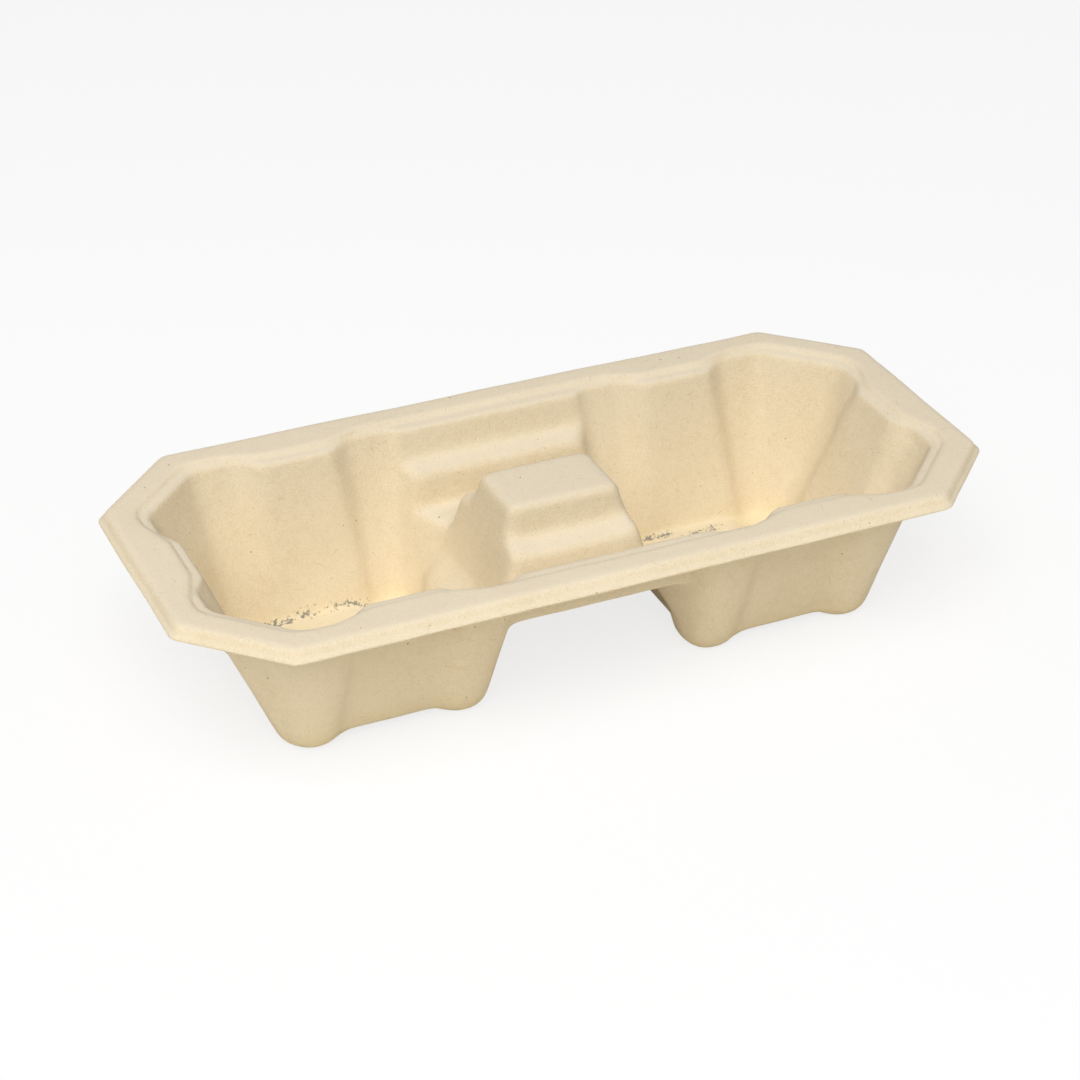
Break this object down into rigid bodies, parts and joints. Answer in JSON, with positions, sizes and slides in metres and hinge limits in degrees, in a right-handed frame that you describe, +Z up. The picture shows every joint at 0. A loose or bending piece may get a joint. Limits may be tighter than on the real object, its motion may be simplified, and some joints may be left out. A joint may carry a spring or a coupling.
{
  "type": "moulded pulp cup carrier",
  "caption": "Octagonal moulded pulp tray with two lobed cup wells, a stepped channel and a saddle grip between them, standing on rounded feet.",
  "frame": {"origin": "on the table under the middle of the carrier", "axes": "+Z up, +X along the length from one cup well to the other, +Y across the width"},
  "size_m": [0.22, 0.1046, 0.0466],
  "materials": {
    "pulp": "matte, slightly rough moulded fibre"
  },
  "bodies": {
    "root": {"cup_carrier": "pulp"}
  },
  "joints": []
}
